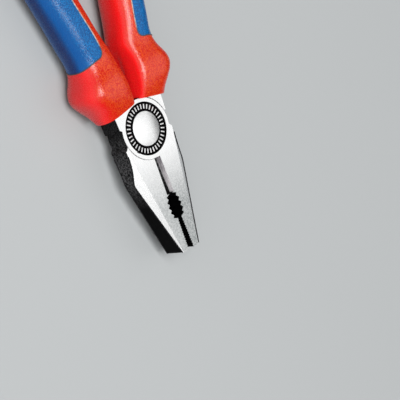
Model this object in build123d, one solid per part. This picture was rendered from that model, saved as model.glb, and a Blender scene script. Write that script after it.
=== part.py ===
from build123d import *
import os
from math import cos, pi, radians, sin, sqrt

# Lineman pliers with two-colour grips: two forged levers lap jointed on one rivet, each with a
# soft sleeve on its tang and a hard pad let into the sleeve's outer half.
#
# Frame, in millimetres: X runs from the handles to the jaw tips, Y across the tool, Z up through
# the joint. The origin lies on the pivot axis, on the joint's back face. Both levers are the same
# forging. The front one has the +Y jaw, the upper half of the joint and the -Y handle, and it is
# modelled with the jaws shut. The rear one is its copy turned half a turn about the X direction.
# The tool is stored with each lever turned REST_ANGLE away from shut.

# Overall
OVERALL_LENGTH = 200.0
TIP_X = 52.0
BUTT_X = TIP_X - OVERALL_LENGTH
HEAD_T = 9.8
MID_Z = HEAD_T / 2
REST_ANGLE = 1.58

# Lap joint and rivet
DISC_R = 12.4
DISC_CLEAR = 0.06
DISC_EDGE = 0.15
LAP_GAP = 0.05
RING_R = 10.7
RING_DEPTH = 0.3
RIVET_HEAD_R = 6.9
RIVET_HEAD_T = 1.7
SHANK_R = 4.8
PIVOT_CLEAR = 0.05

# Jaw, as half widths from the centre line
FACE_GAP = 0.02
SHOULDER = (4.9, 13.45)
SHOULDER_FOOT = (3.1, 11.9)
WAIST = (12.0, 13.05)
KNEE = (18.8, 13.85)
TIP_HALF_W = 3.4
KNEE_R = 6.0
TIP_R = 0.6
BEVEL_CREASE = ((5.3, 12.9), (51.8, 2.95))
BEVEL_SLOPE = 0.63

# Cutter
CUTTER_END_X = 28.0
CUTTER_HALF_W = 1.25
CUTTER_LAND = 0.2

# Toothed pipe grip
PIPE_CENTRE_X = 33.25
PIPE_REACH = 6.4
PIPE_DEPTH = 2.85
PIPE_TEETH = 4
PIPE_PITCH = 2.2
TOOTH_HEIGHT = 1.0

# Serrated flat grip
SERRATION_START_X = 39.3
SERRATION_COUNT = 12
SERRATION_PITCH = 1.0
SERRATION_DEPTH = 0.3

# Neck and tang, as distances from the centre line
NECK_HALF_W = 12.9
NECK_END = (-4.6, -12.9)
NECK_FOOT = (-3.7, -11.6)
HORN_END = (-3.4, -12.9)
HORN_FOOT = (-3.4, -11.8)
NECK_INNER_Y = -3.6
TANG_T = 6.8
TANG_HALF_W = 4.4
TANG_END_HALF_W = 3.2
TANG_END_X = -138.0
TANG_CENTRES = ((-24, 11.2), (-34, 11.2), (-50, 13.8), (-78, 18.7), (-112, 20.9), (TANG_END_X, 19.6))

# Grip stations, from the collar to the butt: place on X, then the distance of the section's
# middle from the centre line, its half width, its half height, its ridge and its lift.
# The outboard half is a superellipse of SECTION_EXPONENT. The inboard half takes the ridge as its
# exponent and is higher by the lift, so that its corners draw up to a crease round the hand guard.
GRIP_STATIONS = (
    (-7.0, 8.3, 7.3, 5.5, 4.2, 0.4),
    (-9.5, 8.8, 8.1, 6.0, 4.5, 0.4),
    (-13.0, 9.5, 9.0, 7.8, 5.0, 0.32),
    (-17.0, 10.9, 10.1, 10.1, 5.4, 0.15),
    (-21.0, 11.9, 10.9, 11.2, 5.4, 0.1),
    (-25.0, 11.8, 10.2, 10.9, 5.0, 0.12),
    (-29.0, 11.1, 9.0, 9.5, 4.2, 0.16),
    (-34.0, 10.6, 8.6, 8.8, 3.2, 0.03),
    (-40.0, 11.8, 8.2, 8.9, 2.8, 0.0),
    (-50.0, 13.8, 8.0, 8.9, 2.6, 0.0),
    (-62.0, 16.1, 8.2, 8.5, 2.6, 0.0),
    (-78.0, 18.7, 8.5, 8.4, 2.6, 0.0),
    (-95.0, 20.4, 8.8, 8.5, 2.6, 0.0),
    (-112.0, 20.9, 8.9, 8.4, 2.6, 0.0),
    (-128.0, 20.3, 8.6, 8.0, 2.6, 0.0),
    (-140.0, 19.3, 8.0, 7.4, 2.6, 0.0),
)
SECTION_EXPONENT = 2.6
SECTION_POINTS = 24
BUTT_RADIUS = 5.5
BUTT_STEPS = (0.5, 0.8, 0.95)
COLLAR_POINT = (-10.8, -8.0)
COLLAR_TILT = 10.2
JOINT_CLEAR_R = 12.55
JOINT_CLEAR_Z = 0.25

# Pads. The front edge curves forward on the outer side.
PAD_T = 2.2
PAD_FRONT_X = -34.4
PAD_FRONT_MID = (-33.2, -16.8)
PAD_FRONT_OUT = (-27.5, -24.5)
PAD_REAR_X = -133.0
PAD_INBOARD = 2.2
PAD_CORNER_R = 2.8


# ---- lever ----------------------------------------------------------------------------------


def pipe_grip_edge():
    """Points of the toothed hollow: valleys on an oval, tooth points one height inside it."""
    first = PIPE_CENTRE_X - PIPE_TEETH * PIPE_PITCH / 2
    points = [(first - 0.9, FACE_GAP)]
    for i in range(2 * PIPE_TEETH + 1):
        x = first + i * PIPE_PITCH / 2
        oval = PIPE_DEPTH * sqrt(1 - ((x - PIPE_CENTRE_X) / PIPE_REACH) ** 2)
        points.append((x, oval - TOOTH_HEIGHT * (i % 2)))
    points.append((points[-1][0] + 0.7, FACE_GAP))
    return points


def serration_edge():
    """Points of the fine cross grooves in the flat grip."""
    points = []
    for i in range(SERRATION_COUNT):
        x = SERRATION_START_X + i * SERRATION_PITCH
        points += [(x, FACE_GAP), (x + 0.35, FACE_GAP + SERRATION_DEPTH), (x + 0.7, FACE_GAP)]
    return points


def jaw_blank():
    inner = [(0, FACE_GAP), *pipe_grip_edge(), *serration_edge(), (TIP_X, FACE_GAP)]
    tip = (TIP_X, TIP_HALF_W)
    outline = Polyline(*inner, tip, KNEE)
    outline += ThreePointArc(KNEE, WAIST, SHOULDER)
    outline += Polyline(SHOULDER, SHOULDER_FOOT, (0, 8), (0, FACE_GAP))
    face = make_face(outline)
    face = fillet(face.vertices().sort_by_distance(KNEE)[0], KNEE_R)
    face = fillet(face.vertices().sort_by_distance(tip)[0], TIP_R)
    return extrude(face, HEAD_T)


def bevel_cut():
    """Everything above the bevel plane, which falls outward from the crease on the front face."""
    (x0, y0), (x1, y1) = BEVEL_CREASE
    along = Vector(x1 - x0, y1 - y0, 0)
    down = Vector(0, 1, -BEVEL_SLOPE)
    normal = along.cross(down)
    if normal.Z < 0:
        normal = normal * -1
    plane = Plane(origin=(x0, y0, HEAD_T), x_dir=along, z_dir=normal)
    return plane * Box(140, 60, 20, align=(Align.CENTER, Align.CENTER, Align.MIN))


def cutter_cut():
    """The V between the cutting bevels, from the disc to the pipe grip."""
    wedge = Polyline(
        (-1, MID_Z + CUTTER_LAND),
        (FACE_GAP, MID_Z + CUTTER_LAND),
        (CUTTER_HALF_W, HEAD_T),
        (CUTTER_HALF_W, HEAD_T + 1),
        (-1, HEAD_T + 1),
        close=True,
    )
    cut = Plane.YZ * make_face(wedge)
    cut = extrude(cut, CUTTER_END_X)
    cut += mirror(cut, Plane.XY.offset(MID_Z))
    return cut - Cylinder(DISC_R, 3 * HEAD_T)


def neck_blank():
    """Full-thickness neck. Its lower half reaches further round the other lever's disc."""
    solids = []
    for end, foot, low, high in (
        (NECK_END, NECK_FOOT, MID_Z + LAP_GAP / 2, HEAD_T),
        (HORN_END, HORN_FOOT, 0, MID_Z + LAP_GAP / 2),
    ):
        outline = Polyline(
            end,
            (-12, -NECK_HALF_W - 0.2),
            (-15, -NECK_HALF_W - 0.4),
            (-15, NECK_INNER_Y),
            (-11.5, NECK_INNER_Y),
            (-8, -6),
            foot,
            close=True,
        )
        solids.append(Pos(0, 0, low) * extrude(make_face(outline), high - low))
    return solids[0] + solids[1]


def tang():
    """Bar inside the grip, running from the neck to near the butt."""
    outer = [(-15, -NECK_HALF_W - 0.4)]
    inner = [(-15, NECK_INNER_Y)]
    for x, centre in TANG_CENTRES:
        half = TANG_HALF_W + (TANG_END_HALF_W - TANG_HALF_W) * (x / TANG_END_X) ** 2
        outer.append((x, -centre - half))
        inner.append((x, -centre + half))
    outline = Spline(*outer) + Line(outer[-1], inner[-1]) + Spline(*inner) + Line(outer[0], inner[0])
    bar = extrude(make_face(outline), HEAD_T)
    half_t = TANG_T / 2
    side = Polyline(
        (-14, 0), (-15, 0), (-24, MID_Z - half_t), (TANG_END_X - 1, MID_Z - half_t),
        (TANG_END_X - 1, MID_Z + half_t), (-24, MID_Z + half_t), (-15, HEAD_T), (-14, HEAD_T),
        close=True,
    )
    profile = extrude(Plane.XZ * make_face(side), 60)
    return bar & profile


def front_lever():
    lap_z = MID_Z + LAP_GAP / 2
    upward = (Align.CENTER, Align.CENTER, Align.MIN)
    recess_r = DISC_R + DISC_CLEAR
    lever = jaw_blank() + neck_blank() + tang()
    lever -= Pos(0, 0, -1) * Cylinder(recess_r, lap_z + 1, align=upward)
    lever -= Cone(recess_r + DISC_EDGE, recess_r, DISC_EDGE, align=upward)
    disc = Cylinder(DISC_R, HEAD_T - lap_z, align=upward)
    disc = chamfer(disc.edges().group_by(Axis.Z)[-1], DISC_EDGE)
    lever += Pos(0, 0, lap_z) * disc
    bevel = bevel_cut()
    lever -= bevel
    lever -= mirror(bevel, Plane.XY.offset(MID_Z))
    lever -= cutter_cut()
    downward = (Align.CENTER, Align.CENTER, Align.MAX)
    ring = Cylinder(RING_R, RING_DEPTH, align=downward)
    ring -= Cylinder(RIVET_HEAD_R, RING_DEPTH, align=downward)
    lever -= Pos(0, 0, HEAD_T) * ring
    return lever


def rivet(clear=0.0):
    """Shank with a flush head at each face; clear grows it into the hole it turns in."""
    centred = (Align.CENTER, Align.CENTER, Align.CENTER)
    shank = Cylinder(SHANK_R + clear, HEAD_T, align=centred)
    head_t = RIVET_HEAD_T + clear
    head = Cylinder(RIVET_HEAD_R + clear, head_t, align=centred)
    heads = Pos(0, 0, (HEAD_T - head_t) / 2) * head + Pos(0, 0, (head_t - HEAD_T) / 2) * head
    return Pos(0, 0, MID_Z) * (shank + heads)


# ---- grip -----------------------------------------------------------------------------------


def grip_section(x, centre, half_w, half_h, ridge, lift):
    """Closed section across the handle at x. Its diagonals stay the same whatever the ridge."""
    points = []
    for i in range(SECTION_POINTS):
        angle = 2 * pi * i / SECTION_POINTS
        c, s = cos(angle), sin(angle)
        inboard = (1 + c) / 2
        exponent = SECTION_EXPONENT + (ridge - SECTION_EXPONENT) * inboard
        size = 2 ** (1 / exponent - 1 / SECTION_EXPONENT)
        y = size * half_w * abs(c) ** (2 / exponent) * (1 if c > 0 else -1)
        z = size * half_h * abs(s) ** (2 / exponent) * (1 if s > 0 else -1)
        points.append((x, -centre + y, MID_Z + z * (1 + lift * inboard)))
    return Wire([Edge.make_spline([Vector(*p) for p in points], periodic=True)])


def grip_body(inset=0.0):
    """Sleeve's outer form from collar to rounded butt, drawn in by inset all round."""
    sections = [
        grip_section(x, centre, half_w - inset, half_h - inset, ridge, lift)
        for x, centre, half_w, half_h, ridge, lift in GRIP_STATIONS
    ]
    _, c, w, h, *form = GRIP_STATIONS[-1]
    flat = BUTT_X + BUTT_RADIUS * BUTT_STEPS[-1]
    sections.append(grip_section(flat, c - 0.3, w - 0.3 - inset, h - 0.3 - inset, *form))
    for step in BUTT_STEPS:
        less = 0.4 + BUTT_RADIUS * (1 - sqrt(1 - step**2)) + inset
        sections.append(grip_section(flat - BUTT_RADIUS * step, c - 0.4, w - less, h - less, *form))
    return Solid.make_loft(sections)


def collar_trim():
    """What lies ahead of the collar's slanted end, and the room for the joint."""
    forward = (cos(radians(COLLAR_TILT)), sin(radians(COLLAR_TILT)), 0)
    plane = Plane(origin=(*COLLAR_POINT, MID_Z), z_dir=forward)
    ahead = plane * Box(60, 60, 20, align=(Align.CENTER, Align.CENTER, Align.MIN))
    room = Pos(0, 0, MID_Z) * Cylinder(JOINT_CLEAR_R, HEAD_T + 2 * JOINT_CLEAR_Z)
    return ahead + room


def pad_region():
    """Upright prism over the outer part of the handle, with rounded inboard corners."""
    stations = [(x, -c) for x, c, *_ in GRIP_STATIONS if PAD_REAR_X + 8 < x < PAD_FRONT_X - 4]
    edge = [(x, y + PAD_INBOARD) for x, y in stations]
    start = (PAD_FRONT_X, edge[0][1] + 0.3)
    end = (PAD_REAR_X, edge[-1][1] - 0.6)
    outer = (PAD_FRONT_OUT[0], -45)
    outline = Line((PAD_REAR_X, -45), outer) + Line(outer, PAD_FRONT_OUT)
    outline += ThreePointArc(PAD_FRONT_OUT, PAD_FRONT_MID, start)
    outline += Spline(start, *edge, end)
    outline += Line(end, (PAD_REAR_X, -45))
    face = make_face(outline)
    corners = [face.vertices().sort_by_distance(p)[0] for p in (start, end)]
    face = fillet(corners, PAD_CORNER_R)
    return Pos(0, 0, -20) * extrude(face, 50)


def grip_pair(lever):
    """Front lever's sleeve and pad."""
    body = grip_body() - collar_trim()
    pad = (body - grip_body(PAD_T)) & pad_region()
    core = body - pad - lever
    return core, pad


# ---- assembly -------------------------------------------------------------------------------


def turned_over(solid):
    """The rear lever's place for anything on the front lever."""
    return Pos(0, 0, HEAD_T) * Rot(180, 0, 0) * solid


def main():
    forging = front_lever()
    core, pad = grip_pair(forging)
    moving = forging - rivet(PIVOT_CLEAR)
    fixed = turned_over(forging) - rivet()
    parts = {
        "front_lever": Rot(0, 0, REST_ANGLE) * moving,
        "front_grip_core": Rot(0, 0, REST_ANGLE) * core,
        "front_grip_pad": Rot(0, 0, REST_ANGLE) * pad,
        "rear_lever": Rot(0, 0, -REST_ANGLE) * fixed,
        "rear_grip_core": Rot(0, 0, -REST_ANGLE) * turned_over(core),
        "rear_grip_pad": Rot(0, 0, -REST_ANGLE) * turned_over(pad),
        "joint_rivet": Rot(0, 0, -REST_ANGLE) * rivet(),
    }
    os.makedirs("parts", exist_ok=True)
    for name, part in parts.items():
        export_step(part, f"parts/{name}.step")
        print(name, len(part.solids()), "solid", round(part.volume), "mm3")


main()
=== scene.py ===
"""Looks of the lineman pliers: forged levers, joint ring, rivet, two-colour grips and studio."""

from __future__ import annotations

import logging
import math
from collections.abc import Callable
from dataclasses import dataclass
from enum import Enum

import bmesh
import bpy
from mathutils import Matrix, Vector


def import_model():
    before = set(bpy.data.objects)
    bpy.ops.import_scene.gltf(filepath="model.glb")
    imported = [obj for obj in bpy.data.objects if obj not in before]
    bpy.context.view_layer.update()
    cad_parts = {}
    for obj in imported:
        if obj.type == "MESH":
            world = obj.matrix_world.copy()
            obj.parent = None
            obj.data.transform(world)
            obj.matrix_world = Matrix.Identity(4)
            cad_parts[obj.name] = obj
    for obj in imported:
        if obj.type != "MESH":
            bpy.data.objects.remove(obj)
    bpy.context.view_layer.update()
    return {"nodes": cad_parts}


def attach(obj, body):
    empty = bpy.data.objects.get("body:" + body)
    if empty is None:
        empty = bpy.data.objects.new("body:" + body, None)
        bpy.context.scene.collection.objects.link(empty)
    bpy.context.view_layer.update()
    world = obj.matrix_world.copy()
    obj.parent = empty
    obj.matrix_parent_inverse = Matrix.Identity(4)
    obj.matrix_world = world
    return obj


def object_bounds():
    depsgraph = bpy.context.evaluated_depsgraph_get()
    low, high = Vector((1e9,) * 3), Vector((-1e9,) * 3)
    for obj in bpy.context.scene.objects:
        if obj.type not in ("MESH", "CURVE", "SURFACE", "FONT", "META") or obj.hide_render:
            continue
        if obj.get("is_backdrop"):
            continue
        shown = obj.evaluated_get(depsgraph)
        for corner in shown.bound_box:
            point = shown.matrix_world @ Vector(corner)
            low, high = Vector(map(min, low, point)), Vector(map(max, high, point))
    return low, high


LOG = logging.getLogger("pliers")
MM = 0.001
HEAD_THICKNESS = 9.8 * MM
RING_OUTER = 10.7 * MM
RIVET_RADIUS = 6.9 * MM

Colour = tuple[float, float, float, float]
Span = tuple[float, float]
Triple = tuple[float, float, float]
Socket = bpy.types.NodeSocket
Nodes = dict[str, bpy.types.Object]


class Side(Enum):
    """Which half of the tool a piece belongs to."""

    FRONT = "front"
    REAR = "rear"

    @property
    def body(self) -> str:
        """Name of the moving body."""
        return f"{self.value}_half"

    @property
    def jaw(self) -> float:
        """Sign of Y on this half's jaw; its handle lies on the other side."""
        return 1.0 if self is Side.FRONT else -1.0


class Facing(Enum):
    """Which normal a material reads."""

    FLAT = "True Normal"
    SMOOTH = "Normal"


class Blend(Enum):
    """What a Mix node blends: its data type, the first of its two inputs, and its output."""

    NUMBER = ("FLOAT", 2, 0)
    VECTOR = ("VECTOR", 4, 1)
    COLOUR = ("RGBA", 6, 2)


@dataclass(frozen=True)
class Pattern:
    """A noise: features per metre, number of finer layers and the strength of those."""

    scale: float
    detail: float = 3.0
    rough: float = 0.55


@dataclass(frozen=True)
class Ramp:
    """Turns low..high into start..end, and holds the value there outside that stretch."""

    low: float
    high: float
    start: float = 0.0
    end: float = 1.0


@dataclass(frozen=True)
class Relief:
    """Height in metres that a full step of a pattern stands for, and the share of its effect."""

    depth: float
    strength: float


class NodeBoard:
    """Lays out the nodes of one tree and links them."""

    def __init__(self, tree: bpy.types.NodeTree) -> None:
        """Take the shader or geometry node tree to work on."""
        self.tree = tree

    def feed(self, target: Socket, value: object) -> None:
        """Link a socket to an input, or set the input's own value.

        Args:
            target: The input.
            value: A socket, a value, or None to leave the input as it is.
        """
        if isinstance(value, bpy.types.NodeSocket):
            self.tree.links.new(value, target)
        elif value is not None:
            target.default_value = value

    def fill(self, node: bpy.types.Node, **inputs: object) -> None:
        """Fill some of a node's inputs.

        Args:
            node: The node.
            **inputs: A value or a socket for each input, by its name with underscores for spaces.
        """
        for name, value in inputs.items():
            self.feed(node.inputs[name.replace("_", " ")], value)

    def add(self, kind: str, **inputs: object) -> bpy.types.Node:
        """Add a node and fill its inputs.

        Args:
            kind: The node's type name.
            **inputs: Values or sockets, as in fill.

        Returns:
            The new node.
        """
        node = self.tree.nodes.new(kind)
        self.fill(node, **inputs)
        return node

    def operate(
        self, kind: str, operation: str, *inputs: object, clamp: bool = False
    ) -> bpy.types.NodeOutputs:
        """Work one Math or Vector Math node.

        Args:
            kind: The node's type name.
            operation: The node's operation.
            *inputs: Values or sockets, in order.
            clamp: Whether the result stays between 0 and 1.

        Returns:
            The node's outputs.
        """
        node = self.tree.nodes.new(kind)
        node.operation = operation
        if clamp:
            node.use_clamp = True
        for target, value in zip(node.inputs, inputs):
            self.feed(target, value)
        return node.outputs

    def math(self, operation: str, *inputs: object, clamp: bool = False) -> Socket:
        """Result of one Math node, as operate gives it."""
        return self.operate("ShaderNodeMath", operation, *inputs, clamp=clamp)[0]

    def product(self, first: object, *others: object) -> Socket:
        """Multiply numbers.

        Args:
            first: Value or socket.
            *others: Values or sockets.

        Returns:
            The product's socket.
        """
        result = first
        for value in others:
            result = self.math("MULTIPLY", result, value)
        return result

    def above(self, value: Socket, limit: object) -> Socket:
        """Give 1 where a value is greater than a limit, and 0 elsewhere."""
        return self.math("GREATER_THAN", value, limit)

    def between(self, value: Socket, span: Span) -> Socket:
        """Give 1 where a value lies inside a span, and 0 elsewhere."""
        low, high = span
        return self.product(self.above(value, low), self.math("LESS_THAN", value, high))

    def blend(
        self, share: object, first: object, second: object, kind: Blend = Blend.COLOUR
    ) -> Socket:
        """Mix two colours, numbers or vectors.

        Args:
            share: Share of the second.
            first: Value or socket.
            second: Value or socket.
            kind: What is mixed.

        Returns:
            The mixture's socket.
        """
        data_type, index, output = kind.value
        node = self.tree.nodes.new("ShaderNodeMix")
        node.data_type = data_type
        self.feed(node.inputs[0], share)
        self.feed(node.inputs[index], first)
        self.feed(node.inputs[index + 1], second)
        return node.outputs[output]

    def noise(self, place: Socket, pattern: Pattern) -> Socket:
        """Read a noise pattern.

        Args:
            place: Coordinates in metres.
            pattern: How coarse and how layered it is.

        Returns:
            The pattern's 0 to 1 value.
        """
        node = self.add(
            "ShaderNodeTexNoise",
            Vector=place,
            Scale=pattern.scale,
            Detail=pattern.detail,
            Roughness=pattern.rough,
        )
        return node.outputs[0]

    def ramp(self, value: Socket, ramp: Ramp) -> Socket:
        """Run a value through a ramp.

        Args:
            value: The value's socket.
            ramp: What it turns into.

        Returns:
            The result's socket.
        """
        node = self.add("ShaderNodeMapRange", Value=value)
        for index, number in enumerate((ramp.low, ramp.high, ramp.start, ramp.end), 1):
            node.inputs[index].default_value = number
        return node.outputs[0]

    def stretched(self, place: Socket, scale: Triple) -> Socket:
        """Scale coordinates along the three axes."""
        return self.add("ShaderNodeMapping", Vector=place, Scale=scale).outputs[0]

    def bump(self, height: Socket, relief: Relief, normal: Socket | None = None) -> Socket:
        """Turn a height pattern into a bumped normal.

        Args:
            height: The 0 to 1 pattern.
            relief: How deep and how strong it is.
            normal: A bumped normal to build on.

        Returns:
            The normal's socket.
        """
        node = self.add(
            "ShaderNodeBump",
            Height=height,
            Distance=relief.depth,
            Strength=relief.strength,
            Normal=normal,
        )
        return node.outputs[0]

    def place(self) -> Socket:
        """Coordinates in the part's own frame."""
        return self.add("ShaderNodeTexCoord").outputs["Object"]

    def axes(self, vector: Socket) -> bpy.types.NodeOutputs:
        """X, Y and Z of a vector."""
        return self.add("ShaderNodeSeparateXYZ", Vector=vector).outputs

    def upness(self, facing: Facing) -> Socket:
        """How nearly a face looks straight up or down, from 0 to 1."""
        normal = self.add("ShaderNodeNewGeometry").outputs[facing.value]
        return self.math("ABSOLUTE", self.axes(normal)[2])


def new_material(name: str) -> tuple[bpy.types.Material, NodeBoard, bpy.types.Node]:
    """Make an empty node material.

    Args:
        name: The material's name.

    Returns:
        The material, its board and its shader node.
    """
    material = bpy.data.materials.new(name)
    material.use_nodes = True
    board = NodeBoard(material.node_tree)
    shader = material.node_tree.nodes["Principled BSDF"]
    return material, board, shader


@dataclass(frozen=True)
class LeverSpot:
    """Where a point of a lever lies and which way its face looks, as sockets of one material.

    Attributes:
        place: The point, in the part's own frame.
        x: Its place along the tool.
        y: Its place across the tool.
        up: How nearly its face looks straight up or down.
        off_middle: Its height away from the joint's middle plane.
        off_ring: 0 on the black ring round the rivet, 1 elsewhere.
        grain: The coarse grain of the forging at the point.
    """

    place: Socket
    x: Socket
    y: Socket
    up: Socket
    off_middle: Socket
    off_ring: Socket
    grain: Socket


@dataclass(frozen=True)
class ForgedSteel:
    """Black forging with its faces and bevels ground bright, a ground cutter and a black ring.

    Faces that look up or down by more than ground_up are ground bright, away from the ring and
    from the middle of the joint. Their colour is painted darker grey towards the tips, most of
    all on the +Y jaw, in patches: a painted dimming of their reflection. The cutter's slope is
    known by its stretch along the jaw, by its tilt, and by its height, which passes
    slot_shadow_edge;
    deeper down it stays black, as painted shadow in the slot. All else keeps its scale, which the
    rub values turn grey in patches just ahead of the joint, partly as rubbing and partly as
    painted light.
    """

    bright: Colour = (0.93, 0.935, 0.935, 1.0)
    scratched: Colour = (0.82, 0.825, 0.83, 1.0)
    # Painted darker reflection on the ground faces towards the tips.
    dim_reflection: Colour = (0.29, 0.31, 0.31, 1.0)
    cutter: Colour = (0.27, 0.25, 0.27, 1.0)
    cutter_light: Colour = (0.84, 0.81, 0.83, 1.0)
    black: Colour = (0.002, 0.002, 0.0022, 1.0)
    black_rubbed_lit: Colour = (0.13, 0.13, 0.134, 1.0)

    ring: Span = (RIVET_RADIUS - 0.2 * MM, RING_OUTER + 0.02 * MM)
    ground_up: float = 0.7
    ground_off_middle: float = 0.3 * MM
    slot_length: Span = (11.5 * MM, 28.4 * MM)
    slot_up: Span = (0.15, 0.35)
    # Below this height the cutter's slope stays black, as painted shadow in the slot.
    slot_shadow_edge: Ramp = Ramp(12 * MM, 28 * MM, 2.7 * MM, 2.95 * MM)

    scratches: Pattern = Pattern(260.0, 5.0, 0.65)
    scratch_stretch: Triple = (1.0, 14.0, 14.0)
    scratch_share: Ramp = Ramp(0.45, 0.7)
    wear_up: float = 0.97
    wear_along: Ramp = Ramp(10 * MM, 33 * MM)
    wear_across: Ramp = Ramp(-4 * MM, 3 * MM, 0.78, 1.0)
    wear_patches: Ramp = Ramp(0.4, 0.62, 0.65, 1.0)
    rub_patches: Ramp = Ramp(0.42, 0.64)
    rub_light_fall: Ramp = Ramp(18 * MM, 30 * MM, 1.0, 0.0)
    rub_light_rise: Ramp = Ramp(-2 * MM, 10 * MM, 0.25, 1.0)
    streaks: Pattern = Pattern(420.0, 4.0, 0.6)
    streak_stretch: Triple = (1.0, 30.0, 6.0)
    streak_light: Ramp = Ramp(0.42, 0.62, -0.15, 0.6)
    light_along: Ramp = Ramp(14 * MM, 26 * MM, 0.05, 1.0)

    mottle: Pattern = Pattern(420.0, 4.0)
    grain: Pattern = Pattern(1500.0, 3.0, 0.7)
    slot_metal: float = 0.4
    specular: float = 0.02
    polish: Ramp = Ramp(0.3, 0.75, 0.24, 0.31)
    dull: Ramp = Ramp(0.3, 0.7, 0.42, 0.56)
    scratch_relief: Relief = Relief(0.004 * MM, 0.5)
    grain_relief: Relief = Relief(0.12 * MM, 0.8)

    def spot(self, board: NodeBoard) -> LeverSpot:
        """Read where a point lies.

        Args:
            board: The material's board.

        Returns:
            The point's sockets.
        """
        place = board.place()
        x, y, z = board.axes(place)
        squares = [board.math("POWER", axis, 2.0) for axis in (x, y)]
        radius = board.math("SQRT", board.math("ADD", *squares))
        return LeverSpot(
            place=place,
            x=x,
            y=y,
            up=board.upness(Facing.FLAT),
            off_middle=board.math("ABSOLUTE", board.math("SUBTRACT", z, HEAD_THICKNESS / 2)),
            off_ring=board.math("SUBTRACT", 1.0, board.between(radius, self.ring)),
            grain=board.noise(place, self.grain),
        )

    def ground_colour(self, board: NodeBoard, spot: LeverSpot, scratches: Socket) -> Socket:
        """Colour of the ground faces, bright with fine scratches, painted darker towards the
        tips.

        Args:
            board: The material's board.
            spot: Where the point lies.
            scratches: The pattern of fine scratches.

        Returns:
            The colour's socket.
        """
        polished = board.blend(
            board.ramp(scratches, self.scratch_share), self.bright, self.scratched
        )
        # Painted dimming of the reflection, towards the tips and on the +Y jaw, in patches.
        wear = board.product(
            board.ramp(spot.x, self.wear_along),
            board.ramp(spot.y, self.wear_across),
            board.ramp(spot.grain, self.wear_patches),
            board.above(spot.up, self.wear_up),
        )
        return board.blend(wear, polished, self.dim_reflection)

    def black_colour(self, board: NodeBoard, spot: LeverSpot) -> Socket:
        """Colour of the scale, grey in patches just ahead of the joint: rubbing and painted
        light.

        Args:
            board: The material's board.
            spot: Where the point lies.

        Returns:
            The colour's socket.
        """
        # Partly rubbed scale, partly painted light: the grey patches fade out towards the tip.
        rubbed = board.product(
            board.ramp(spot.grain, self.rub_patches),
            board.ramp(spot.x, self.rub_light_fall),
            board.ramp(spot.x, self.rub_light_rise),
            spot.off_ring,
        )
        return board.blend(rubbed, self.black, self.black_rubbed_lit)

    def cutter_colour(self, board: NodeBoard, spot: LeverSpot) -> Socket:
        """Colour of the cutter's slope, streaked lengthwise and lighter towards its front end.

        Args:
            board: The material's board.
            spot: Where the point lies.

        Returns:
            The colour's socket.
        """
        streaks = board.noise(board.stretched(spot.place, self.streak_stretch), self.streaks)
        light = board.math(
            "ADD",
            board.ramp(streaks, self.streak_light),
            board.ramp(spot.x, self.light_along),
            clamp=True,
        )
        return board.blend(light, self.cutter, self.cutter_light)

    def build(self) -> bpy.types.Material:
        """Make the material from the shape's own normals and places.

        Returns:
            The material.
        """
        material, board, shader = new_material("forged_steel")
        spot = self.spot(board)
        ground = board.product(
            board.above(spot.up, self.ground_up),
            spot.off_ring,
            board.above(spot.off_middle, self.ground_off_middle),
        )
        # The deeper part of the cutter's slope is left black: painted shadow in the slot.
        slot = board.product(
            board.between(spot.x, self.slot_length),
            board.between(spot.up, self.slot_up),
            board.above(spot.off_middle, board.ramp(spot.x, self.slot_shadow_edge)),
        )
        bare = board.math("MAXIMUM", ground, slot)

        lengthwise = board.stretched(spot.place, self.scratch_stretch)
        scratches = board.noise(lengthwise, self.scratches)
        colour = board.blend(
            slot, self.black_colour(board, spot), self.cutter_colour(board, spot)
        )
        colour = board.blend(ground, colour, self.ground_colour(board, spot, scratches))
        lost = board.product(slot, 1.0 - self.slot_metal)
        dull = board.ramp(board.noise(spot.place, self.mottle), self.dull)
        polish = board.ramp(scratches, self.polish)
        coarse = board.bump(spot.grain, self.grain_relief)
        fine = board.bump(scratches, self.scratch_relief)
        board.fill(
            shader,
            Base_Color=colour,
            Metallic=board.math("SUBTRACT", bare, lost),
            Roughness=board.blend(bare, dull, polish, Blend.NUMBER),
            Specular_IOR_Level=self.specular,
            Normal=board.blend(bare, coarse, fine, Blend.VECTOR),
        )
        return material


@dataclass(frozen=True)
class RivetSteel:
    """Rivet head ground flush, very slightly crowned by the polishing."""

    base: Colour = (0.93, 0.935, 0.935, 1.0)
    crown: float = 33.0
    speckle: Pattern = Pattern(900.0, 4.0, 0.6)
    polish: Ramp = Ramp(0.3, 0.7, 0.24, 0.34)
    relief: Relief = Relief(0.006 * MM, 0.5)

    def build(self) -> bpy.types.Material:
        """Make the material, whose normals lean outwards from the pivot as on a low dome.

        Returns:
            The material.
        """
        material, board, shader = new_material("rivet_steel")
        place = board.place()
        speckle = board.noise(place, self.speckle)
        relief = board.bump(speckle, self.relief)
        lean = board.stretched(place, (self.crown, self.crown, 0.0))
        total = board.operate("ShaderNodeVectorMath", "ADD", relief, lean)[0]
        board.fill(
            shader,
            Base_Color=self.base,
            Metallic=1.0,
            Roughness=board.ramp(speckle, self.polish),
            Normal=board.operate("ShaderNodeVectorMath", "NORMALIZE", total)[0],
        )
        return material


@dataclass(frozen=True)
class MarkSteel:
    """Bright top of a raised bar, dulled in places."""

    base: Colour = (0.84, 0.84, 0.845, 1.0)
    dull: Colour = (0.6, 0.6, 0.6, 1.0)
    speckle: Pattern = Pattern(1600.0, 3.0, 0.6)
    dull_share: Ramp = Ramp(0.45, 0.7)
    polish: Ramp = Ramp(0.3, 0.7, 0.28, 0.4)

    def build(self) -> bpy.types.Material:
        """Make the material.

        Returns:
            The material.
        """
        material, board, shader = new_material("mark_steel")
        speckle = board.noise(board.place(), self.speckle)
        board.fill(
            shader,
            Base_Color=board.blend(board.ramp(speckle, self.dull_share), self.base, self.dull),
            Metallic=1.0,
            Roughness=board.ramp(speckle, self.polish),
        )
        return material


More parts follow.
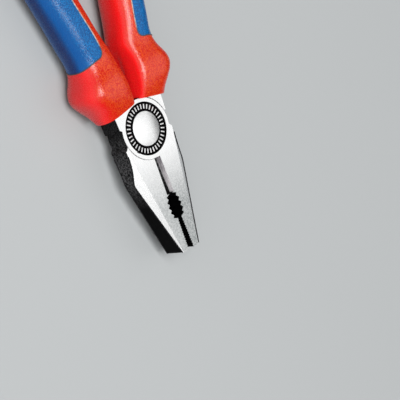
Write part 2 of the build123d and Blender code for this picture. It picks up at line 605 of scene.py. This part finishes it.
@dataclass(frozen=True)
class GrainedPlastic:
    """Moulded grip plastic with a fine sparkling grain, and painted light and shade by facing.

    Attributes:
        name: The material's name.
        shaded_flank: Colour where the surface stands upright, darkened as painted shade.
        side: Colour where it leans.
        top: Colour where it lies level, between the flecks, toned as painted light for its
            facing.
        sparkle_fleck: Pale flecks on the level parts, partly grain and partly painted sparkle.
        roughness: Roughness, before gloss_change.
        grain_depth: Height of the grain.
        specular: Strength of its reflections.
    """

    name: str
    shaded_flank: Colour
    side: Colour
    top: Colour
    sparkle_fleck: Colour
    roughness: float
    grain_depth: float
    specular: float

    side_up: Ramp = Ramp(0.03, 0.28)
    top_up: Ramp = Ramp(0.4, 0.92)
    sparkle_fleck_up: Ramp = Ramp(0.55, 0.95, 0.15, 0.9)
    fleck_share: Ramp = Ramp(0.46, 0.57)
    grain: Pattern = Pattern(2000.0, 2.0, 0.5)
    fine: Pattern = Pattern(2400.0, 2.0, 0.5)
    fine_depth_share: float = 0.4
    relief_strength: float = 0.8
    gloss_patches: Span = (0.35, 0.65)
    gloss_change: Span = (-0.08, 0.12)

    def colour(self, board: NodeBoard, grain: Socket) -> Socket:
        """Colour of the plastic: painted shade on its flanks, painted light and sparkle on its
        top.

        Args:
            board: The material's board.
            grain: The coarser of the two grain patterns.

        Returns:
            The colour's socket.
        """
        # Painted light and shade: the colour is picked by which way the face looks, darkest
        # upright.
        up = board.upness(Facing.SMOOTH)
        colour = board.blend(board.ramp(up, self.side_up), self.shaded_flank, self.side)
        colour = board.blend(board.ramp(up, self.top_up), colour, self.top)
        # Flecks lie mostly on level faces: grain, and painted sparkle where the light falls.
        flecked = board.product(
            board.ramp(grain, self.fleck_share), board.ramp(up, self.sparkle_fleck_up)
        )
        return board.blend(flecked, colour, self.sparkle_fleck)

    def build(self) -> bpy.types.Material:
        """Make the material, its grain in both colour and relief.

        Returns:
            The material.
        """
        material, board, shader = new_material(self.name)
        place = board.place()
        grain = board.noise(place, self.grain)
        fine = board.noise(place, self.fine)
        gloss = Ramp(*self.gloss_patches, *(self.roughness + step for step in self.gloss_change))
        deep = Relief(self.grain_depth, self.relief_strength)
        shallow = Relief(self.grain_depth * self.fine_depth_share, self.relief_strength)
        board.fill(
            shader,
            Base_Color=self.colour(board, grain),
            Roughness=board.ramp(fine, gloss),
            Specular_IOR_Level=self.specular,
            Normal=board.bump(fine, shallow, board.bump(grain, deep)),
        )
        return material


# Each grip's colours are toned by facing: painted shade on the flanks, painted light on the tops.
RED_SLEEVE = GrainedPlastic(
    name="red_sleeve",
    shaded_flank=(0.87, 0.012, 0.017, 1.0),
    side=(0.9, 0.01, 0.014, 1.0),
    top=(0.5, 0.005, 0.0005, 1.0),
    sparkle_fleck=(0.67, 0.07, 0.008, 1.0),
    roughness=0.23,
    grain_depth=0.09 * MM,
    specular=0.52,
)
BLUE_PAD = GrainedPlastic(
    name="blue_pad",
    shaded_flank=(0.0003, 0.018, 0.13, 1.0),
    side=(0.0003, 0.085, 0.33, 1.0),
    top=(0.0003, 0.063, 0.22, 1.0),
    sparkle_fleck=(0.0005, 0.15, 0.42, 1.0),
    roughness=0.18,
    grain_depth=0.16 * MM,
    specular=0.3,
)


@dataclass(frozen=True)
class PartingLine:
    """Pale flash line between pad and sleeve, painted shade round its front end, and dark
    patches.
    """

    colour: Colour = (0.5, 0.43, 0.38, 1.0)
    shade_and_grime: Colour = (0.07, 0.065, 0.065, 1.0)
    shade_along: Ramp = Ramp(-40 * MM, -37 * MM)
    grime_patches: Ramp = Ramp(0.4, 0.8)
    speckle: Pattern = Pattern(900.0)
    roughness: float = 0.7

    def build(self) -> bpy.types.Material:
        """Make the material.

        Returns:
            The material.
        """
        material, board, shader = new_material("parting_line")
        place = board.place()
        # Painted shade round the pad's front end, plus random dark patches along the line.
        shade_and_grime_share = board.math(
            "ADD",
            board.ramp(board.axes(place)[0], self.shade_along),
            board.ramp(board.noise(place, self.speckle), self.grime_patches),
            clamp=True,
        )
        board.fill(
            shader,
            Base_Color=board.blend(shade_and_grime_share, self.colour, self.shade_and_grime),
            Roughness=self.roughness,
        )
        return material


@dataclass(frozen=True)
class EdgeShadeBlack:
    """Matt black for a bead along the jaw's edge, painted shade on that edge."""

    colour: Colour = (0.008, 0.008, 0.009, 1.0)
    rubbed: Colour = (0.05, 0.05, 0.052, 1.0)
    speckle: Pattern = Pattern(1300.0, 3.0, 0.6)
    rubbed_share: Ramp = Ramp(0.5, 0.8)
    roughness: float = 0.6
    specular: float = 0.1
    relief: Relief = Relief(0.02 * MM, 0.6)

    def build(self) -> bpy.types.Material:
        """Make the material.

        Returns:
            The material.
        """
        material, board, shader = new_material("edge_shade_black")
        speckle = board.noise(board.place(), self.speckle)
        board.fill(
            shader,
            Base_Color=board.blend(
                board.ramp(speckle, self.rubbed_share), self.colour, self.rubbed
            ),
            Roughness=self.roughness,
            Specular_IOR_Level=self.specular,
            Normal=board.bump(speckle, self.relief),
        )
        return material


def add_object(name: str, data: bpy.types.ID) -> bpy.types.Object:
    """Make an object and put it in the scene.

    Args:
        name: The object's name.
        data: Its mesh, lamp or camera.

    Returns:
        The object.
    """
    thing = bpy.data.objects.new(name, data)
    bpy.context.scene.collection.objects.link(thing)
    return thing


def dress(node: bpy.types.Object, material: bpy.types.Material) -> None:
    """Give a CAD node one material, keeping its mesh.

    Args:
        node: The node's object.
        material: What it is made of.
    """
    if not node.material_slots:
        node.data.materials.append(material)
    for slot in node.material_slots:
        slot.link = "OBJECT"
        slot.material = material


def start_tree(name: str, sizes: dict[str, str]) -> tuple[NodeBoard, bpy.types.NodeOutputs]:
    """Start a geometry node tree with named inputs.

    Args:
        name: The tree's name.
        sizes: The inputs' names, each with its socket's type.

    Returns:
        The tree's board and the sockets that give its inputs.
    """
    tree = bpy.data.node_groups.new(name, "GeometryNodeTree")
    tree.interface.new_socket("Geometry", in_out="INPUT", socket_type="NodeSocketGeometry")
    for size, kind in sizes.items():
        tree.interface.new_socket(size, in_out="INPUT", socket_type=kind)
    tree.interface.new_socket("Geometry", in_out="OUTPUT", socket_type="NodeSocketGeometry")
    board = NodeBoard(tree)
    return board, board.add("NodeGroupInput").outputs


def end_tree(
    board: NodeBoard, shape: Socket, material: bpy.types.Material
) -> bpy.types.GeometryNodeTree:
    """End a geometry node tree with real geometry in one material.

    Args:
        board: The tree's board.
        shape: The geometry.
        material: What it is made of.

    Returns:
        The tree.
    """
    real = board.add("GeometryNodeRealizeInstances", Geometry=shape)
    dressed = board.add("GeometryNodeSetMaterial", Geometry=real.outputs[0], Material=material)
    board.feed(board.add("NodeGroupOutput").inputs[0], dressed.outputs[0])
    return board.tree


def run_tree(
    piece: bpy.types.Object, tree: bpy.types.GeometryNodeTree, sizes: dict[str, object]
) -> None:
    """Run a geometry node tree on a piece and keep the plain mesh that it gives.

    Args:
        piece: Object whose mesh the tree starts from.
        tree: The tree.
        sizes: A value for each of the tree's named inputs.
    """
    modifier = piece.modifiers.new("grow", "NODES")
    modifier.node_group = tree
    for item in tree.interface.items_tree:
        if item.in_out == "INPUT" and item.name in sizes:
            modifier[item.identifier] = sizes[item.name]
    graph = bpy.context.evaluated_depsgraph_get()
    grown = bpy.data.meshes.new_from_object(piece.evaluated_get(graph))
    piece.modifiers.remove(modifier)
    piece.data = grown


@dataclass(frozen=True)
class Bead:
    """Thin round bead along chosen edges of a CAD node.

    Attributes:
        radius: Radius of its round section.
        sides: Number of sides of that section.
        step: Distance between its sections.
        weld: Distance under which the node's loose corners are one.
    """

    radius: float
    sides: int
    step: float
    weld: float = 0.002 * MM

    def tree(self, material: bpy.types.Material) -> bpy.types.GeometryNodeTree:
        """Geometry nodes that run a bead along every loop of edges.

        Args:
            material: What the bead is made of.

        Returns:
            The node tree, with inputs for the bead's radius, its sides and the step along it.
        """
        sizes = {
            "Bead radius": "NodeSocketFloat",
            "Bead sides": "NodeSocketInt",
            "Step": "NodeSocketFloat",
        }
        board, start = start_tree("bead_along_edges", sizes)
        path = board.add("GeometryNodeMeshToCurve", Mesh=start["Geometry"])
        even = board.tree.nodes.new("GeometryNodeResampleCurve")
        even.mode = "LENGTH"
        board.fill(even, Curve=path.outputs[0], Length=start["Step"])
        ring = board.add(
            "GeometryNodeCurvePrimitiveCircle",
            Radius=start["Bead radius"],
            Resolution=start["Bead sides"],
        )
        bead = board.add(
            "GeometryNodeCurveToMesh",
            Curve=even.outputs[0],
            Profile_Curve=ring.outputs[0],
            Fill_Caps=True,
        )
        smooth = board.add("GeometryNodeSetShadeSmooth", Geometry=bead.outputs[0])
        return end_tree(board, smooth.outputs[0], material)

    def lay(
        self,
        name: str,
        node: bpy.types.Object,
        follows: Callable[[bmesh.types.BMEdge], bool],
        material: bpy.types.Material,
    ) -> bpy.types.Object:
        """Lay the bead.

        Args:
            name: The bead's name.
            node: The CAD node that it lies on.
            follows: Says of an edge between two faces whether the bead follows it.
            material: What the bead is made of.

        Returns:
            The bead's object.
        """
        net = bmesh.new()
        net.from_mesh(node.data)
        bmesh.ops.remove_doubles(net, verts=net.verts, dist=self.weld)
        edges = [edge for edge in net.edges if len(edge.link_faces) == 2 and follows(edge)]
        verts = dict.fromkeys(vert for edge in edges for vert in edge.verts)
        order = {vert: index for index, vert in enumerate(verts)}
        mesh = bpy.data.meshes.new(name)
        pairs = [[order[vert] for vert in edge.verts] for edge in edges]
        mesh.from_pydata([vert.co[:] for vert in order], pairs, [])
        net.free()
        bead = add_object(name, mesh)
        sizes = {"Bead radius": self.radius, "Bead sides": self.sides, "Step": self.step}
        run_tree(bead, self.tree(material), sizes)
        return bead


@dataclass
class Lever:
    """One forged lever: jaw, half of the joint, neck and tang.

    The lip runs where, ahead of the shoulder, a face that is more level than level_up meets one
    that is less so than upright_up and looks outwards by more than outer_across.
    """

    side: Side
    finish: bpy.types.Material
    edge_shade: bpy.types.Material
    lip: Bead = Bead(0.27 * MM, 6, 1.0 * MM)
    shoulder: float = 6.0 * MM
    level_up: float = 0.5
    upright_up: float = 0.2
    outer_across: float = 0.7

    def make(self, nodes: Nodes) -> list[str]:
        """Dress the lever and lay a thin black bead along its jaw's outer edges, as painted
        shade.

        Args:
            nodes: The CAD nodes, by name.

        Returns:
            The pieces' names.
        """
        node = nodes[f"{self.side.value}_lever"]
        dress(node, self.finish)
        # A thin black bead paints shade along the jaw's outer edges.
        line = self.lip.lay(f"{self.side.value}_jaw_edge_shade", node, self.on_lip, self.edge_shade)
        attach(line, self.side.body)
        return [node.name, line.name]

    def on_lip(self, edge: bmesh.types.BMEdge) -> bool:
        """Find the edges where a ground face of the jaw meets its outer side.

        Args:
            edge: An edge between two faces.

        Returns:
            Whether it is one of them.
        """
        if min(vert.co.x for vert in edge.verts) < self.shoulder:
            return False
        level, upright = sorted(edge.link_faces, key=lambda face: -abs(face.normal.z))
        return (
            abs(level.normal.z) > self.level_up
            and abs(upright.normal.z) < self.upright_up
            and upright.normal.y * self.side.jaw > self.outer_across
        )


@dataclass
class Grip:
    """Sleeve, pad and the flash line between them on one handle.

    The line runs where the pad's faces meet at more than border_turn and one of them looks away
    from the handle's middle by more than border_out. That middle stands out by bow at bow_place
    behind the pivot, and comes in by bow_drop at bow_length from there.
    """

    side: Side
    sleeve: bpy.types.Material
    pad: bpy.types.Material
    flash: bpy.types.Material
    bead: Bead = Bead(0.24 * MM, 8, 0.5 * MM)
    border_turn: float = math.radians(50)
    border_out: float = 0.5
    bow: float = 20.9 * MM
    bow_place: float = 112.0 * MM
    bow_length: float = 78.0 * MM
    bow_drop: float = 10.3 * MM

    def make(self, nodes: Nodes) -> list[str]:
        """Dress the sleeve and pad and lay the flash line.

        Args:
            nodes: The CAD nodes, by name.

        Returns:
            The pieces' names.
        """
        core = nodes[f"{self.side.value}_grip_core"]
        pad = nodes[f"{self.side.value}_grip_pad"]
        dress(core, self.sleeve)
        dress(pad, self.pad)
        seam = self.bead.lay(f"{self.side.value}_grip_seam", pad, self.on_border, self.flash)
        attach(seam, self.side.body)
        return [core.name, pad.name, seam.name]

    def middle(self, x: float) -> float:
        """Rough distance of the handle's middle from the centre line at x."""
        along = (x + self.bow_place) / self.bow_length
        return self.bow - self.bow_drop * along * along

    def on_border(self, edge: bmesh.types.BMEdge) -> bool:
        """Find the edges round the pad's outer face.

        Args:
            edge: An edge between two faces.

        Returns:
            Whether it is one of them.
        """
        if edge.calc_face_angle(0.0) < self.border_turn:
            return False
        point = (edge.verts[0].co + edge.verts[1].co) / 2
        axis = Vector((point.x, -self.side.jaw * self.middle(point.x), HEAD_THICKNESS / 2))
        out = (point - axis).normalized()
        return any(face.normal.dot(out) > self.border_out for face in edge.link_faces)


@dataclass
class JointRing:
    """Raised bright bars in the black ring round the rivet, on one face of the joint.

    The bars stand at radius from the pivot, on the floor of a groove of the given depth. Their
    size is length outwards, width and height, half of it above that floor.
    """

    side: Side
    metal: bpy.types.Material
    radius: float = 8.85 * MM
    count: int = 36
    size: Triple = (1.9 * MM, 0.55 * MM, 0.2 * MM)
    depth: float = 0.3 * MM
    bevel: float = 0.06 * MM

    def tree(self) -> bpy.types.GeometryNodeTree:
        """Geometry nodes that stand bars evenly round a circle, each pointing outwards.

        Returns:
            The node tree, with inputs for the circle, the number of bars and the size of one.
        """
        sizes = {
            "Circle radius": "NodeSocketFloat",
            "Bar count": "NodeSocketInt",
            "Bar size": "NodeSocketVector",
            "Centre": "NodeSocketVector",
        }
        board, start = start_tree("bars_round_circle", sizes)
        circle = board.add(
            "GeometryNodeMeshCircle", Vertices=start["Bar count"], Radius=start["Circle radius"]
        )
        bar = board.add("GeometryNodeMeshCube", Size=start["Bar size"])
        order = board.add("GeometryNodeInputIndex").outputs[0]
        angle = board.math("DIVIDE", board.product(order, 2 * math.pi), start["Bar count"])
        turn = board.add("ShaderNodeCombineXYZ", Z=angle)
        spin = board.add("FunctionNodeEulerToRotation", Euler=turn.outputs[0])
        bars = board.add(
            "GeometryNodeInstanceOnPoints",
            Points=circle.outputs[0],
            Instance=bar.outputs[0],
            Rotation=spin.outputs[0],
        )
        placed = board.add(
            "GeometryNodeTransform", Geometry=bars.outputs[0], Translation=start["Centre"]
        )
        return end_tree(board, placed.outputs[0], self.metal)

    def make(self) -> list[str]:
        """Stand the bars on the floor of the ring's groove.

        Returns:
            The piece's name.
        """
        floor = HEAD_THICKNESS - self.depth if self.side is Side.FRONT else self.depth
        marks = add_object(f"{self.side.value}_ring_marks", bpy.data.meshes.new("ring_marks"))
        sizes = {
            "Circle radius": self.radius,
            "Bar count": self.count,
            "Bar size": self.size,
            "Centre": (0.0, 0.0, floor),
        }
        run_tree(marks, self.tree(), sizes)
        edge = marks.modifiers.new("soften", "BEVEL")
        edge.width = self.bevel
        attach(marks, self.side.body)
        return [marks.name]


@dataclass
class JointRivet:
    """Headed pin through both levers."""

    metal: bpy.types.Material

    def make(self, nodes: Nodes) -> list[str]:
        """Dress the rivet and give its name."""
        dress(nodes["joint_rivet"], self.metal)
        return ["joint_rivet"]


@dataclass(frozen=True)
class Softbox:
    """Rectangular lamp that faces the object.

    Attributes:
        name: The lamp's name.
        towards: Direction from the object to the lamp.
        distance: How far away it hangs, in metres.
        sides: Its two sides in metres, the first along X.
        power: Its power in watts.
        turn: Degrees that it is then turned about its own axis.
    """

    name: str
    towards: Triple
    distance: float
    sides: Span
    power: float
    turn: float = 0.0

    def hang(self) -> None:
        """Hang the lamp."""
        lamp = bpy.data.lights.new(self.name, "AREA")
        lamp.shape = "RECTANGLE"
        lamp.size, lamp.size_y = self.sides
        lamp.energy = self.power
        out = Vector(self.towards).normalized()
        side = (Vector((1, 0, 0)) - out * out.x).normalized()
        upright = Matrix((side, out.cross(side), out)).transposed()
        turned = upright @ Matrix.Rotation(math.radians(self.turn), 3, "Z")
        holder = add_object(self.name, lamp)
        holder.location = out * self.distance
        holder.rotation_mode = "QUATERNION"
        holder.rotation_quaternion = turned.to_quaternion()


@dataclass
class Studio:
    """Pale floor, soft lamps, a dim room with one window, and the camera.

    The camera's angles are in degrees, and its lens and sensor in millimetres.
    """

    azimuth: float = -19.63
    elevation: float = 47.37
    roll: float = 84.2
    distance: float = 760.6 * MM
    lens: float = 169.67
    sensor: float = 36.0
    aim: Triple = (36.8 * MM, 13.2 * MM, 9.8 * MM)

    floor_size: float = 6.0
    floor_colour: Colour = (0.4, 0.415, 0.42, 1.0)
    floor_shade: Colour = (0.12, 0.12, 0.12, 1.0)
    floor_roughness: float = 0.9

    sky_box: Softbox = Softbox("sky_box", (0.17, 0.54, 0.82), 1.3, (1.1, 1.1), 3.75)
    key_box: Softbox = Softbox("key_box", (-0.07, -0.26, 0.96), 1.2, (0.9, 0.46), 12.2, 27.0)
    low_box: Softbox = Softbox("low_box", (0.08, -0.5, 0.86), 1.2, (0.26, 0.26), 2.3)
    room_colour: Colour = (1.0, 1.0, 1.0, 1.0)
    room_up: Ramp = Ramp(0.0, 1.0, 0.03, 0.16)
    window: Ramp = Ramp(0.2, 1.0, 0.0, 0.9)
    window_side: Triple = (-0.1, -0.97, 0.22)

    def floor(self) -> None:
        """Lay the floor just under the object, pale to look at but dark in what it lights."""
        low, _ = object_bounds()
        half = self.floor_size / 2
        mesh = bpy.data.meshes.new("floor")
        corners = [(-half, -half), (half, -half), (half, half), (-half, half)]
        mesh.from_pydata([(x, y, low.z) for x, y in corners], [], [(0, 1, 2, 3)])
        floor = add_object("floor", mesh)
        material, board, shader = new_material("floor_paper")
        rays = board.add("ShaderNodeLightPath").outputs
        seen = board.math("MAXIMUM", rays["Is Camera Ray"], rays["Is Glossy Ray"])
        seen = board.math("MAXIMUM", seen, rays["Is Transmission Ray"])
        paper = board.blend(seen, self.floor_shade, self.floor_colour)
        board.fill(shader, Base_Color=paper, Roughness=self.floor_roughness)
        floor.data.materials.append(material)
        floor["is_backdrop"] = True

    def room(self) -> None:
        """Set the surroundings, a little lighter overhead and bright towards the window."""
        world = bpy.data.worlds.new("studio")
        world.use_nodes = True
        board = NodeBoard(world.node_tree)
        direction = board.add("ShaderNodeTexCoord").outputs["Generated"]
        overhead = board.ramp(board.axes(direction)[2], self.room_up)
        window_side = Vector(self.window_side).normalized()
        aside = board.operate("ShaderNodeVectorMath", "DOT_PRODUCT", direction, window_side)
        window = board.ramp(aside["Value"], self.window)
        background = world.node_tree.nodes["Background"]
        strength = board.math("ADD", overhead, window)
        board.fill(background, Color=self.room_colour, Strength=strength)
        bpy.context.scene.world = world

    def camera(self) -> None:
        """Stand the camera and aim it."""
        azimuth, elevation = math.radians(self.azimuth), math.radians(self.elevation)
        level = math.cos(elevation)
        back = Vector(
            (math.sin(azimuth) * level, -math.cos(azimuth) * level, math.sin(elevation))
        )
        data = bpy.data.cameras.new("camera")
        data.lens = self.lens
        data.sensor_width = self.sensor
        aimed = (-back).to_track_quat("-Z", "Y").to_matrix()
        rolled = aimed @ Matrix.Rotation(math.radians(self.roll), 3, "Z")
        camera = add_object("camera", data)
        camera.location = Vector(self.aim) + back * self.distance
        camera.rotation_mode = "QUATERNION"
        camera.rotation_quaternion = rolled.to_quaternion()
        bpy.context.scene.camera = camera

    def make(self) -> list[str]:
        """Set up the whole studio.

        Returns:
            What it holds.
        """
        self.floor()
        for lamp in (self.sky_box, self.key_box, self.low_box):
            lamp.hang()
        self.room()
        self.camera()
        bpy.context.scene.view_settings.view_transform = "Standard"
        return ["floor", "lamps", "room", "camera"]


def report(names: list[str]) -> None:
    """Log the pieces that are ready."""
    for name in names:
        LOG.info("%s is ready", name)


def main() -> None:
    """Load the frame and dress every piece."""
    logging.basicConfig(level=logging.INFO, format="%(message)s")
    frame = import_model()
    nodes = frame["nodes"]
    steel, mark_steel, rivet_steel = (
        finish.build() for finish in (ForgedSteel(), MarkSteel(), RivetSteel())
    )
    sleeve, pad, flash, edge_shade = (
        finish.build() for finish in (RED_SLEEVE, BLUE_PAD, PartingLine(), EdgeShadeBlack())
    )
    for side in Side:
        report(Lever(side, steel, edge_shade).make(nodes))
        report(Grip(side, sleeve, pad, flash).make(nodes))
        report(JointRing(side, mark_steel).make())
    report(JointRivet(rivet_steel).make(nodes))
    report(Studio().make())


if __name__ == "__main__":
    main()
